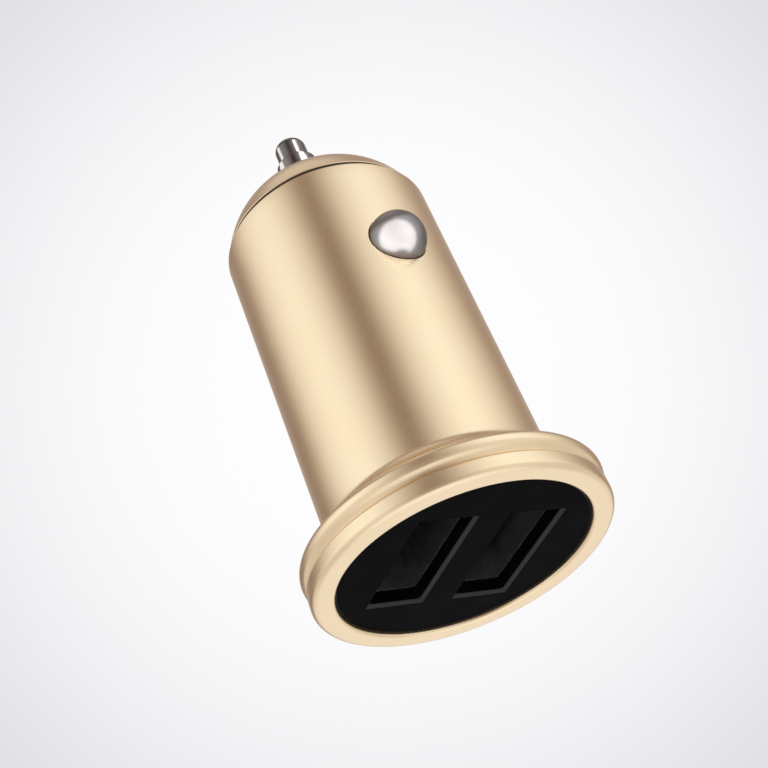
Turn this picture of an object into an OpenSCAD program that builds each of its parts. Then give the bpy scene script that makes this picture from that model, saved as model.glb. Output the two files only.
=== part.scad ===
// Two-port charger plug for a 12 V car socket. A turned barrel with a stepped flange
// stands on its front face, with the ports below and the sprung tip at the top.
// The side contacts and the long sides of the ports lie along X, the board lies in the XZ plane.

/* [Ports] */
// Width of a port opening
port_w = 12.4; // [12.2:0.1:12.5]
// Height of a port opening
port_h = 5; // [4.9:0.05:5.1]
// Gap between the shells of the two ports
port_gap = 2.9; // [2.7:0.1:3.1]
// Inside corner radius of a port shell
port_corner = 0.5; // [0.4:0.05:0.6]
// Sheet thickness of a port shell
shell_t = 0.3; // [0.25:0.05:0.3]
// Length of a port shell
shell_l = 13; // [12.6:0.1:13.2]
// Width of a solder leg of a port shell
shell_leg_w = 2; // [1.6:0.1:2.2]
// Space beside a port tongue
tongue_side = 0.6; // [0.5:0.05:0.7]
// Thickness of a port tongue
tongue_t = 1.84; // [1.7:0.02:1.9]
// Gap between a tongue and the far wall of its shell
tongue_gap = 0.6; // [0.55:0.05:0.7]
// Depth from the front of a shell to its tongue
tongue_back = 2.75; // [2.7:0.05:3]
// Length of the plastic block at the back of a port
block_l = 3; // [2.6:0.1:3.4]
// Width of a contact blade
blade_w = 1; // [0.9:0.05:1.2]
// Thickness of a contact blade
blade_t = 0.15; // [0.1:0.01:0.2]
// Distance of the inner pair of blades from the middle of the port
blade_inner_x = 1; // [0.9:0.05:1.1]
// Distance of the outer pair of blades from the middle of the port
blade_outer_x = 3.5; // [3.3:0.05:3.7]
// Length of a blade's solder foot
blade_foot = 1.4; // [1:0.1:1.6]

/* [Barrel] */
// Wall of the barrel, which is as wide as the two ports need
barrel_wall = 0.8; // [0.7:0.05:0.9]
// Bevel on the top edge of the barrel
seam_bevel = 0.15; // [0.1:0.05:0.2]

/* [Flange] */
// How far the front bezel stands out from the barrel
bezel_step = 3.2; // [3:0.05:3.4]
// Width of the bezel's front rim, round the front plate
rim_w = 2.1; // [1.9:0.05:2.2]
// Height of the front bezel up to its groove
bezel_h = 1.95; // [1.8:0.05:2.1]
// Rounding of the front outer edge of the bezel
bezel_round = 0.6; // [0.4:0.05:0.8]
// Rounding of the inner edge of the bezel
lip_round = 0.35; // [0.25:0.05:0.4]
// Depth of the groove between bezel and bead
groove_depth = 0.5; // [0.3:0.05:0.6]
// Step from the bezel out to the bead behind the groove
bead_step = 0.15; // [0:0.05:0.3]
// Radius of the round section of the bead
bead_round = 0.8; // [0.7:0.05:0.9]
// Slope of the flange's back face, in degrees
back_slope = 33; // [25:1:38]
// Radius of the hollow curve from the flange to the barrel
flare_r = 1.4; // [1:0.1:1.8]

/* [Front plate] */
// Thickness of the front plate
plate_t = 1.5; // [1.3:0.05:1.6]
// Depth of the plate's face below the bezel
plate_recess = 0.4; // [0.4:0.05:0.5]
// Bevel round each slot
slot_bevel = 0.35; // [0.2:0.05:0.45]
// Width of a snap leg
clip_w = 4; // [3:0.2:4.4]
// Length of a snap leg behind the plate
clip_l = 3.4; // [3.2:0.1:3.6]
// Thickness of a snap leg
clip_t = 1.4; // [1:0.1:1.6]
// Radial catch of a snap leg
clip_catch = 0.25; // [0.15:0.05:0.3]

/* [Side contacts] */
// Radius of a side contact's round head
ball_r = 2.7; // [2.5:0.05:2.8]
// How far the head stands out of the barrel
ball_proud = 2.5; // [2:0.1:2.6]
// Width of the lip that keeps a contact in
ball_lip = 0.75; // [0.6:0.05:0.85]
// Thickness of that lip
ball_lip_t = 0.7; // [0.5:0.05:0.8]
// Wall round the hollow that holds the spring
ball_wall = 0.55; // [0.45:0.05:0.65]
// Wire of a side spring
side_wire = 0.35; // [0.3:0.01:0.4]
// Turns of a side spring
side_turns = 8; // [6:1:9]
// Wall of the contact carrier above and below its bores
carrier_wall = 0.95; // [0.8:0.05:1.1]
// Wall between the carrier's middle slot and its bores
carrier_web = 1; // [0.8:0.05:1.2]

/* [Nose] */
// Depth of the nose cap's spigot inside the barrel
spigot_l = 5.6; // [5.4:0.1:6.4]
// Depth of the crown's centre below the edge of the barrel
crown_depth = 2.6; // [2.3:0.1:2.8]
// Distance of the crown's centre from the axis
crown_offset = 0.9; // [0.8:0.05:1]
// Wall of the nose cap
cap_wall = 0.9; // [0.8:0.05:1]
// Step from the barrel in to the nose cap
cap_step = 0.15; // [0.1:0.05:0.2]
// Width of the flat land round the bush
land_w = 0.6; // [0.4:0.05:0.8]
// Height of the bush above the land
bush_proud = 0.2; // [0.1:0.05:0.3]
// Wall of the bush's neck
bush_neck_wall = 0.7; // [0.6:0.05:0.8]
// Wall of the bush's skirt
bush_skirt_wall = 1.2; // [1:0.05:1.3]
// Thickness of the bush's shoulder
bush_shoulder = 1.2; // [1:0.1:1.4]

/* [Tip] */
// Radius of the tip
tip_r = 1.65; // [1.5:0.05:1.75]
// Rounding of the end of the tip
tip_round = 0.9; // [0.6:0.05:1.1]
// Height of the tip above the land of the nose cap
tip_h = 7.75; // [7.4:0.05:8.2]
// Step from the tip out to the collar, and to the shank that slides in the bush
collar_step = 0.5; // [0.4:0.05:0.6]
// Depth of the neck below the collar
neck_depth = 0.35; // [0.25:0.05:0.45]
// Height of the collar
collar_h = 1.35; // [1.1:0.05:1.5]
// How far the tip can be pushed in
tip_travel = 2.5; // [2:0.1:2.6]
// Width of the flange that keeps the tip in
tip_flange_w = 0.95; // [0.85:0.05:1]
// Thickness of that flange
tip_flange_t = 1; // [0.8:0.05:1.2]
// Wire of the tip spring
tip_wire = 0.5; // [0.4:0.02:0.55]
// Turns of the tip spring
tip_turns = 4.5; // [4:0.5:5]

/* [Board] */
// Thickness of the circuit board
board_t = 1.6; // [1.4:0.05:1.7]
// Space between the edge of the board and the film
board_edge = 1; // [0.8:0.05:1.1]
// Half the width of the board's upper arm
arm_half_w = 1.5; // [1.3:0.05:1.6]
// Thickness of the rolled insulating film
film_t = 0.2; // [0.15:0.05:0.25]
// Thickness of the metal straps and of the terminal plate
strap_t = 0.3; // [0.25:0.05:0.35]
// Side of the inductor
inductor_w = 5.6; // [5.2:0.1:5.7]
// Height of the inductor
inductor_h = 3; // [2.8:0.1:3.4]
// Thickness of the inductor's base
inductor_base = 0.8; // [0.6:0.05:0.9]
// Radius of a capacitor's can
can_r = 2.5; // [2.3:0.05:2.6]
// Thickness of a capacitor's base
can_base_h = 0.6; // [0.5:0.05:0.7]
// Space between a capacitor's can and the film
can_gap = 0.4; // [0.3:0.05:0.8]

/* [Hidden] */

$fn = 64;
arc_steps = 10;
tiny = 0.01;

// Clearances
snug = 0.05;            // parts that are pressed or clipped together
slide = 0.05;           // shank in its bush
loose = 0.1;            // parts that only lie beside each other
head_gap = 0.08;        // head of a side contact in its hole
coil_gap = 0.2;         // a spring in its hollow

// Film and barrel, as wide as the outer corners of the two ports need
shell_half_w = port_w / 2 + shell_t;
shell_half_h = port_h / 2 + shell_t;
shell_corner = port_corner + shell_t;
port_y = port_gap / 2 + shell_half_h;
corner_reach = norm([shell_half_w - shell_corner, port_y + shell_half_h - shell_corner]) + shell_corner;
film_bore_r = corner_reach + snug;
film_r = film_bore_r + film_t;
bore_r = film_r + loose;
barrel_r = bore_r + barrel_wall;

// Flange and front plate
bezel_r = barrel_r + bezel_step;
groove_r = bezel_r - groove_depth;
bead_r = bezel_r + bead_step;
bead_gap = 0.3;
bead_z = bezel_h + bead_round * sin(60) + bead_gap;
seat_r = bezel_r - rim_w;
seat_z = plate_recess + plate_t;
plate_r = seat_r - snug;
clip_r = bore_r - snug;
clip_bead_h = 0.8;
clip_top_z = seat_z + clip_l;
clip_groove_depth = clip_catch + snug + loose;

// Ports
shell_z = seat_z + snug;
shell_top_z = shell_z + shell_l;
tongue_w = port_w - 2 * tongue_side;
tongue_y = port_y + port_h / 2 - tongue_gap - tongue_t;
tongue_z = shell_z + tongue_back;
block_z = shell_top_z - block_l;
leg_pitch = 3;
leg_lead = 4;
leg_z = [block_z - leg_lead, block_z - leg_lead + leg_pitch];
blade_bend_z = shell_top_z + 0.4;
blade_foot_z = blade_bend_z + blade_t + blade_foot;

// Board and what stands on it
parts_gap = 0.55;
inductor_wall = 0.11 * inductor_w;
drum_r = 0.18 * inductor_w;
can_base_w = 2 * can_r + 0.2;
board_lift = 2.6;
board_z = seat_z + board_lift;
board_half_w = film_bore_r - board_edge;
board_top_z = blade_foot_z + max(inductor_w, can_base_w) + 2 * parts_gap;
board_step_z = clip_top_z + 0.4;
corner_cut_x = clip_r - clip_t - 1.25;
parts_z = (blade_foot_z + board_top_z) / 2;
margin_x = (shell_half_w + board_half_w) / 2 + snug;
fuse_w = 1.3;
chip_w = 3.9;
chip_l = 4.9;
chip_h = 1.35;
parts_end_x = margin_x - fuse_w / 2 - loose;
inductor_x = parts_end_x - inductor_w / 2;
can_x = parts_end_x - can_base_w / 2;
can_top_y = sqrt(pow(film_bore_r - can_gap, 2) - pow(can_x + can_r, 2));
can_h = can_top_y - board_t / 2 - can_base_h;

// Side contacts and their carrier
ball_hollow_r = ball_r - ball_wall;
side_coil_r = ball_hollow_r - coil_gap - side_wire / 2;
lip_r = ball_r + ball_lip;
carrier_bore_r = lip_r + loose + snug;
carrier_r = bore_r - loose - snug;
carrier_z = board_top_z + 0.25;
ball_z = carrier_z + carrier_wall + carrier_bore_r;
carrier_top_z = ball_z + carrier_bore_r + carrier_wall;
ball_x = barrel_r + ball_proud - ball_r;
lip_top_x = sqrt(pow(bore_r, 2) - pow(lip_r, 2)) - loose;
lip_x = lip_top_x - ball_lip_t;
hollow_x = ball_x + 0.4;
strap_x = arm_half_w + loose + carrier_web;
strap_rim = 1.2;
strap_r = carrier_bore_r - strap_rim;
notch_depth = 1.9;
strap_end_z = board_top_z - notch_depth;

// Terminal, tip and bush
terminal_t = 0.5;
prong_l = 2;
terminal_z = carrier_top_z + prong_l + 0.25;
arm_top_z = terminal_z - snug;
shank_r = tip_r + collar_step;
tip_flange_r = shank_r + tip_flange_w;
tip_coil_r = tip_flange_r - tip_wire / 2 - 0.55;
terminal_pin_r = tip_coil_r - tip_wire / 2 - loose;
bush_bore_r = shank_r + slide;
bush_neck_r = bush_bore_r + bush_neck_wall;
skirt_bore_r = tip_flange_r + coil_gap;
bush_skirt_r = skirt_bore_r + bush_skirt_wall;
skirt_z = terminal_z + terminal_t;

// Nose cap
cap_r = barrel_r - cap_step;
spigot_r = bore_r - snug;
spigot_bore_r = spigot_r - cap_wall;
spigot_z = carrier_top_z + snug;
seam_z = spigot_z + spigot_l;
crown_r = norm([cap_r - crown_offset, crown_depth]);
crown_z = seam_z - crown_depth;
crown_bore_r = crown_r - cap_wall;
land_r = bush_neck_r + land_w;
land_z = crown_z + sqrt(pow(crown_r, 2) - pow(land_r - crown_offset, 2));
boss_r = bush_skirt_r + loose;
boss_z = crown_z + sqrt(pow(crown_bore_r, 2) - pow(boss_r - crown_offset, 2)) - 0.5;
bush_top_z = land_z + bush_proud;
shoulder_z = boss_z - bush_shoulder;
tip_flange_top_z = shoulder_z - snug;
tip_flange_z = tip_flange_top_z - tip_flange_t;
collar_z = bush_top_z + tip_travel + 0.4;
tip_top_z = land_z + tip_h;

// Points of an arc about centre c, from angle a to angle b
function arc(c, r, a, b) =
    [for (i = [0 : arc_steps]) let (t = a + (b - a) * i / arc_steps) c + r * [cos(t), sin(t)]];

// Turns a revolved shape so that its axis points along +X at the height of the side contacts
module along_x() {
    translate([0, 0, ball_z]) rotate([0, 90, 0]) children();
}

// Extrudes an outline drawn in (Y, Z) by w along X, centred on x
module across_x(x, w) {
    translate([x - w / 2, 0, 0]) rotate([90, 0, 90]) linear_extrude(height = w) children();
}

// Extrudes an outline drawn in (X, Z) along Y, from y for a depth of d towards +Y
module across_y(y, d) {
    translate([0, y + d, 0]) rotate([90, 0, 0]) linear_extrude(height = d) children();
}

module rounded_rect(w, h, r) {
    square([w - 2 * r, h], center = true);
    square([w, h - 2 * r], center = true);
    for (x = [-1, 1], y = [-1, 1])
        translate([x * (w / 2 - r), y * (h / 2 - r)]) circle(r = r);
}

// The children, and the children mirrored along an axis
module mirrored(axis) {
    children();
    mirror(axis) children();
}

// Quarter ring of a bent strip, between the directions a and a + 90
module bend(r, t, a) {
    rotate(a) intersection() {
        difference() {
            circle(r = r + t, $fn = 32);
            circle(r = r, $fn = 32);
        }
        square(r + t);
    }
}

module flange_profile() {
    clip_groove_z = clip_top_z - clip_bead_h - 2 * loose;
    clip_groove_r = bore_r + clip_groove_depth;
    bead_c = [bead_r - bead_round, bead_z];
    back_start = bead_c + bead_round * [cos(90 - back_slope), sin(90 - back_slope)];
    flare_touch_r = barrel_r + flare_r * (1 - sin(back_slope));
    flare_z = back_start[1] + (back_start[0] - flare_touch_r) * tan(back_slope) + flare_r * cos(back_slope);
    polygon(concat(
        arc([seat_r + lip_round, lip_round], lip_round, 180, 270),
        arc([bezel_r - bezel_round, bezel_round], bezel_round, 270, 360),
        [[bezel_r, bezel_h - groove_depth], [groove_r, bezel_h]],
        arc(bead_c, bead_round, -60, 90 - back_slope),
        arc([barrel_r + flare_r, flare_z], flare_r, 270 - back_slope, 180),
        [
            [barrel_r, seam_z - seam_bevel], [barrel_r - seam_bevel, seam_z],
            [bore_r, seam_z], [bore_r, clip_top_z], [clip_groove_r, clip_top_z],
            [clip_groove_r, clip_groove_z], [bore_r, clip_groove_z], [bore_r, seat_z], [seat_r, seat_z]
        ]
    ));
}

module barrel_housing() {
    color("burlywood")
    difference() {
        rotate_extrude() flange_profile();
        along_x() cylinder(r = ball_r + head_gap, h = 4 * barrel_r, center = true);
    }
}

module nose_cap() {
    crown_start = asin((seam_z - crown_z) / crown_r);
    crown_end = acos((land_r - crown_offset) / crown_r);
    bore_start = acos((spigot_bore_r - crown_offset) / crown_bore_r);
    bore_end = acos((boss_r - crown_offset) / crown_bore_r);
    color("burlywood")
    rotate_extrude() polygon(concat(
        [[spigot_bore_r, spigot_z], [spigot_r - seam_bevel, spigot_z], [spigot_r, spigot_z + seam_bevel],
            [spigot_r, seam_z]],
        arc([crown_offset, crown_z], crown_r, crown_start, crown_end),
        [[bush_neck_r + snug, land_z], [bush_neck_r + snug, boss_z], [boss_r, boss_z]],
        arc([crown_offset, crown_z], crown_bore_r, bore_end, bore_start)
    ));
}

// Cutter for one slot mouth: a rounded slot with a bevel at the face of the plate
module slot_cutter() {
    grow = slot_bevel + tiny;
    translate([0, 0, plate_recess - 1]) linear_extrude(height = plate_t + 2)
        rounded_rect(port_w, port_h, port_corner);
    translate([0, 0, plate_recess]) intersection() {
        rotate([90, 0, 0]) linear_extrude(height = 2 * port_h, center = true)
            polygon([[-port_w / 2 - grow, -tiny], [port_w / 2 + grow, -tiny],
                [port_w / 2, slot_bevel], [-port_w / 2, slot_bevel]]);
        rotate([90, 0, 90]) linear_extrude(height = 2 * port_w, center = true)
            polygon([[-port_h / 2 - grow, -tiny], [port_h / 2 + grow, -tiny],
                [port_h / 2, slot_bevel], [-port_h / 2, slot_bevel]]);
    }
}

module front_plate() {
    edge = 0.2;
    rib_half_l = shell_half_w - 1;
    rib_y = port_y - shell_half_h - loose;
    rib_grip = 1;
    bead_z0 = clip_top_z - clip_bead_h;
    color("#17171a")
    difference() {
        union() {
            rotate_extrude() polygon([
                [0, plate_recess], [plate_r - edge, plate_recess], [plate_r, plate_recess + edge],
                [plate_r, seat_z], [0, seat_z]
            ]);
            // Snap legs, cut from a ring that carries the catch
            intersection() {
                rotate_extrude() polygon([
                    [clip_r - clip_t, seat_z - tiny], [clip_r, seat_z - tiny], [clip_r, bead_z0],
                    [clip_r + clip_catch, bead_z0 + 0.25], [clip_r + clip_catch, bead_z0 + 0.45],
                    [clip_r - 0.1, clip_top_z - snug], [clip_r - clip_t, clip_top_z - snug]
                ]);
                translate([0, 0, seat_z]) cube([4 * barrel_r, clip_w, 4 * clip_l], center = true);
            }
            // Rib that holds the edge of the board
            translate([-rib_half_l, -rib_y, seat_z - tiny])
                cube([2 * rib_half_l, 2 * rib_y, board_lift + rib_grip]);
        }
        for (side = [-1, 1]) translate([0, side * port_y, 0]) slot_cutter();
        translate([-corner_cut_x, -board_t / 2 - snug, board_z - snug])
            cube([2 * corner_cut_x, board_t + 2 * snug, 2 * rib_grip]);
    }
}

module tip_bush() {
    color("#2b2b2e")
    rotate_extrude() polygon([
        [bush_bore_r, shoulder_z], [bush_bore_r, bush_top_z - 0.15], [bush_bore_r + 0.15, bush_top_z],
        [bush_neck_r - 0.15, bush_top_z], [bush_neck_r, bush_top_z - 0.15], [bush_neck_r, boss_z],
        [bush_skirt_r, boss_z], [bush_skirt_r, skirt_z], [skirt_bore_r, skirt_z], [skirt_bore_r, shoulder_z]
    ]);
}

module tip_pin() {
    neck_z = bush_top_z + 1;
    neck_r = shank_r - neck_depth;
    guide_l = 0.8;
    color("#8f9296")
    rotate_extrude() polygon(concat(
        [[0, tip_flange_z - guide_l], [terminal_pin_r - 0.2, tip_flange_z - guide_l],
            [terminal_pin_r, tip_flange_z - guide_l + 0.2], [terminal_pin_r, tip_flange_z],
            [tip_flange_r, tip_flange_z], [tip_flange_r, tip_flange_top_z], [shank_r, tip_flange_top_z],
            [shank_r, neck_z - neck_depth], [neck_r, neck_z], [neck_r, collar_z - neck_depth],
            [shank_r, collar_z], [shank_r, collar_z + collar_h],
            [tip_r, collar_z + collar_h + collar_step]],
        arc([tip_r - tip_round, tip_top_z - tip_round], tip_round, 0, 90),
        [[0, tip_top_z]]
    ));
}

// Compression spring along +Z from 0 to length, with its end turns wound close
module coil_spring(mean_r, wire, length, turns) {
    sides = 6;
    steps = 18;
    count = turns * steps;
    closed = 1 / turns;
    close_pitch = 1.2 * wire;
    rise = length - wire;
    function lift(t) =
        t < closed ? close_pitch * t / closed
        : t > 1 - closed ? rise - close_pitch * (1 - t) / closed
        : close_pitch + (rise - 2 * close_pitch) * (t - closed) / (1 - 2 * closed);
    points = [for (i = [0 : count], j = [0 : sides - 1])
        let (a = i * 360 / steps, b = j * 360 / sides, out = mean_r + wire / 2 * cos(b))
        [out * cos(a), out * sin(a), wire / 2 * (1 + sin(b)) + lift(i / count)]];
    walls = [for (i = [0 : count - 1], j = [0 : sides - 1])
        let (k = (j + 1) % sides)
        [i * sides + j, i * sides + k, (i + 1) * sides + k, (i + 1) * sides + j]];
    ends = [[for (j = [sides - 1 : -1 : 0]) j], [for (j = [0 : sides - 1]) count * sides + j]];
    polyhedron(points = points, faces = concat(walls, ends));
}

module tip_spring() {
    color("silver")
    translate([0, 0, skirt_z]) coil_spring(tip_coil_r, tip_wire, tip_flange_z - skirt_z, tip_turns);
}

// Brass plate with a stud for the spring and two prongs that grip the board's arm
module positive_terminal() {
    prong_w = 1.6 * arm_half_w;
    stud_h = 0.6;
    color("goldenrod") {
        rotate_extrude() polygon([
            [0, terminal_z], [bush_skirt_r - coil_gap, terminal_z], [bush_skirt_r - coil_gap, skirt_z],
            [terminal_pin_r, skirt_z], [terminal_pin_r - 0.2, skirt_z + stud_h], [0, skirt_z + stud_h]
        ]);
        for (side = [-1, 1])
            translate([-prong_w / 2, side > 0 ? board_t / 2 : -board_t / 2 - strap_t, terminal_z - prong_l])
                cube([prong_w, strap_t, prong_l + tiny]);
    }
}

// Moulded block with a bore for each side contact, a slot for the board's arm and cored ends
module contact_carrier() {
    h = carrier_top_z - carrier_z;
    core_y = carrier_bore_r + 0.9;
    color("ivory")
    difference() {
        translate([0, 0, carrier_z]) cylinder(r = carrier_r, h = h);
        for (side = [0, 180]) rotate([0, 0, side])
            along_x() translate([0, 0, strap_x]) cylinder(r = carrier_bore_r, h = barrel_r);
        for (side = [0, 180]) rotate([0, 0, side])
            translate([strap_x - tiny, -board_t / 2 - snug, carrier_z - 1])
                cube([strap_t + snug, board_t + 2 * snug, ball_z - carrier_z + 1]);
        translate([-arm_half_w - loose, -board_t / 2 - loose, carrier_z - 1])
            cube([2 * arm_half_w + 2 * loose, board_t + 2 * loose, h + 2]);
        for (side = [-1, 1], end = [-1, 1])
            translate([0, 0, carrier_z - 1]) linear_extrude(height = h) intersection() {
                circle(r = carrier_r - 1);
                translate([end > 0 ? 0.5 : -barrel_r - 0.5, side > 0 ? core_y : -core_y - barrel_r])
                    square(barrel_r);
            }
    }
}

module side_contact() {
    color("#c9cbd0")
    along_x() rotate_extrude() polygon(concat(
        [[ball_hollow_r, lip_x], [lip_r, lip_x], [lip_r, lip_top_x], [ball_r, lip_top_x]],
        arc([0, ball_x], ball_r, 0, 90),
        [[0, hollow_x], [ball_hollow_r, hollow_x]]
    ));
}

module side_contact_right() {
    side_contact();
}

module side_contact_left() {
    rotate([0, 0, 180]) side_contact();
}

module side_spring() {
    seat_x = strap_x + strap_t;
    color("silver")
    along_x() translate([0, 0, seat_x]) coil_spring(side_coil_r, side_wire, hollow_x - seat_x, side_turns);
}

module side_spring_right() {
    side_spring();
}

module side_spring_left() {
    rotate([0, 0, 180]) side_spring();
}

// Strap with a round spring seat and a leg that slots into the board
module ground_strap() {
    leg_w = board_t - 0.1;
    color("goldenrod") {
        along_x() translate([0, 0, strap_x]) cylinder(r = strap_r, h = strap_t);
        translate([strap_x, -leg_w / 2, strap_end_z]) cube([strap_t, leg_w, ball_z - strap_end_z]);
    }
}

module ground_strap_right() {
    ground_strap();
}

module ground_strap_left() {
    rotate([0, 0, 180]) ground_strap();
}

// Folded sheet shell of one port, with spring fingers in its long sides and two solder legs
module port_shell() {
    finger_w = 1.6;
    finger_x = 3.2;
    finger_root_z = block_z - 0.5;
    finger_l = 5.2;
    finger_dip = 0.45;
    inner = port_h / 2;
    dip_z = finger_root_z - finger_l + 1.4;
    tip_z = finger_root_z - finger_l + 0.2;
    leg_end_y = -board_t / 2 - 0.35;
    color("#b9bcc1") {
        difference() {
            translate([0, port_y, shell_z]) linear_extrude(height = shell_l) difference() {
                rounded_rect(2 * shell_half_w, 2 * shell_half_h, shell_corner);
                rounded_rect(port_w, port_h, port_corner);
            }
            for (side = [-1, 1], x = [-finger_x, finger_x])
                translate([x, port_y + side * (inner + shell_t / 2), finger_root_z - finger_l / 2])
                    cube([finger_w + 0.6, 3 * shell_t, finger_l + 0.6], center = true);
        }
        for (x = [-finger_x, finger_x])
            translate([0, port_y, 0]) mirrored([0, 1, 0]) across_x(x, finger_w) polygon([
                [inner + shell_t, finger_root_z + 0.5], [inner, finger_root_z + 0.5],
                [inner - finger_dip, dip_z], [inner, tip_z],
                [inner + shell_t, tip_z], [inner - finger_dip + shell_t, dip_z]
            ]);
        // Staggered, so that the legs of the two ports pass each other
        for (i = [0, 1])
            translate([i == 0 ? port_w / 2 : -shell_half_w, leg_end_y, leg_z[i]])
                cube([shell_t, port_y - leg_end_y, shell_leg_w]);
    }
}

module port_shell_1() {
    port_shell();
}

module port_shell_2() {
    rotate([0, 0, 180]) port_shell();
}

// Moulded tongue and back block of one port, with a channel for each blade
module port_tongue() {
    nose = 0.3;
    color("#26262a")
    difference() {
        union() {
            across_x(0, tongue_w) polygon([
                [tongue_y, block_z + tiny], [tongue_y, tongue_z + nose], [tongue_y + nose, tongue_z],
                [tongue_y + tongue_t - nose, tongue_z], [tongue_y + tongue_t, tongue_z + nose],
                [tongue_y + tongue_t, block_z + tiny]
            ]);
            translate([0, port_y, block_z]) linear_extrude(height = block_l)
                rounded_rect(port_w - 2 * snug, port_h - 2 * snug, port_corner);
        }
        for (x = [-blade_outer_x, -blade_inner_x, blade_inner_x, blade_outer_x])
            translate([x - blade_w / 2 - snug, tongue_y - blade_t - snug, block_z - 1])
                cube([blade_w + 2 * snug, blade_t + snug, block_l + 2]);
    }
}

module port_tongue_1() {
    port_tongue();
}

module port_tongue_2() {
    rotate([0, 0, 180]) port_tongue();
}

// Four blades along the tongue, bent down behind the block to feet on the board
module port_blades() {
    bend_r = 0.25;
    outer = bend_r + blade_t;
    start_z = tongue_z + 0.6;
    color("gold")
    for (x = [-blade_outer_x, -blade_inner_x, blade_inner_x, blade_outer_x])
        across_x(x, blade_w) {
            translate([tongue_y - blade_t, start_z])
                square([blade_t, blade_bend_z + blade_t - outer - start_z + tiny]);
            translate([tongue_y - outer, blade_bend_z + blade_t - outer]) bend(bend_r, blade_t, 0);
            translate([board_t / 2 + outer - tiny, blade_bend_z])
                square([tongue_y - board_t / 2 - 2 * outer + 2 * tiny, blade_t]);
            translate([board_t / 2 + outer, blade_bend_z + outer]) bend(bend_r, blade_t, 180);
            translate([board_t / 2, blade_bend_z + outer - tiny])
                square([blade_t, blade_foot_z - blade_bend_z - outer + tiny]);
        }
}

module port_blades_1() {
    port_blades();
}

module port_blades_2() {
    rotate([0, 0, 180]) port_blades();
}

module main_board() {
    cut = 0.8;
    color("darkgreen")
    across_y(-board_t / 2, board_t) difference() {
        union() {
            polygon([
                [-corner_cut_x, board_z], [corner_cut_x, board_z], [corner_cut_x, board_step_z],
                [board_half_w, board_step_z], [board_half_w, board_top_z - cut],
                [board_half_w - cut, board_top_z], [-board_half_w + cut, board_top_z],
                [-board_half_w, board_top_z - cut], [-board_half_w, board_step_z],
                [-corner_cut_x, board_step_z]
            ]);
            translate([-arm_half_w, board_z]) square([2 * arm_half_w, arm_top_z - board_z]);
        }
        for (side = [-1, 1], i = [0, 1])
            translate([side * (port_w / 2 + shell_t / 2), leg_z[i] + shell_leg_w / 2])
                square([shell_t + 2 * loose, shell_leg_w + 2 * loose], center = true);
        for (side = [-1, 1])
            translate([side * (strap_x + strap_t / 2), board_top_z])
                square([strap_t + snug, 2 * (board_top_z - strap_end_z + snug)], center = true);
    }
}

// Rolled film between the board and the barrel, with an open slit along its back
module insulating_film() {
    z = clip_top_z + 0.5;
    h = carrier_z - snug - z;
    slit = 1;
    color("khaki")
    translate([0, 0, z]) linear_extrude(height = h) difference() {
        circle(r = film_r);
        circle(r = film_bore_r);
        translate([-slit / 2, -barrel_r]) square([slit, barrel_r - shell_half_h]);
    }
}

// Shielded inductor: a square ferrite frame round a drum
module inductor_core() {
    well_r = inductor_w / 2 - inductor_wall;
    rim = 0.15;
    color("dimgray")
    translate([-inductor_x, board_t / 2, parts_z]) rotate([-90, 0, 0]) {
        difference() {
            linear_extrude(height = inductor_h) rounded_rect(inductor_w, inductor_w, 0.7);
            translate([0, 0, inductor_base]) cylinder(r = well_r, h = inductor_h);
        }
        cylinder(r = drum_r, h = inductor_h - rim);
    }
}

module inductor_winding() {
    color("chocolate")
    translate([-inductor_x, board_t / 2 + inductor_base + snug, parts_z]) rotate([-90, 0, 0])
        linear_extrude(height = inductor_h - inductor_base - inductor_wall) difference() {
            circle(r = inductor_w / 2 - inductor_wall - loose);
            circle(r = drum_r + loose);
        }
}

// Round can with a pinched waist on a square plastic base with two cut corners
module can_capacitor() {
    edge = can_base_w / 2;
    cut = 0.9;
    waist = 0.2;
    top = can_base_h + can_h;
    color("lightgray")
    translate([can_x, board_t / 2, parts_z]) rotate([-90, 0, 0]) {
        linear_extrude(height = can_base_h) polygon([
            [-edge, -edge], [edge - cut, -edge], [edge, cut - edge],
            [edge, edge - cut], [edge - cut, edge], [-edge, edge]
        ]);
        rotate_extrude() polygon([
            [0, can_base_h - tiny], [can_r, can_base_h - tiny], [can_r, can_base_h + 0.5],
            [can_r - waist, can_base_h + 0.75], [can_r, can_base_h + 1],
            [can_r, top - 0.2], [can_r - 0.2, top], [0, top]
        ]);
    }
}

module input_capacitor() {
    can_capacitor();
}

module output_capacitor() {
    rotate([0, 0, 180]) can_capacitor();
}

module regulator_chip() {
    lift = 0.15;
    side_h = chip_h / 2;
    slope = 0.25;
    dimple_r = 0.35;
    dimple_in = 0.8;
    color("#202024")
    translate([inductor_x, -board_t / 2 - lift, parts_z]) difference() {
        rotate([90, 0, 0]) linear_extrude(height = chip_h) square([chip_w, chip_l], center = true);
        // Sloped long sides, and the dimple that marks the first lead
        for (side = [0, 180]) rotate([0, side, 0])
            translate([chip_w / 2, -side_h, -chip_l]) linear_extrude(height = 2 * chip_l)
                polygon([[tiny, 0], [tiny, -side_h - 0.1], [-slope, -side_h - 0.1]]);
        translate([dimple_in - chip_w / 2, 0.12 - chip_h, chip_l / 2 - dimple_in])
            rotate([90, 0, 0]) cylinder(r = dimple_r, h = 1);
    }
}

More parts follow.
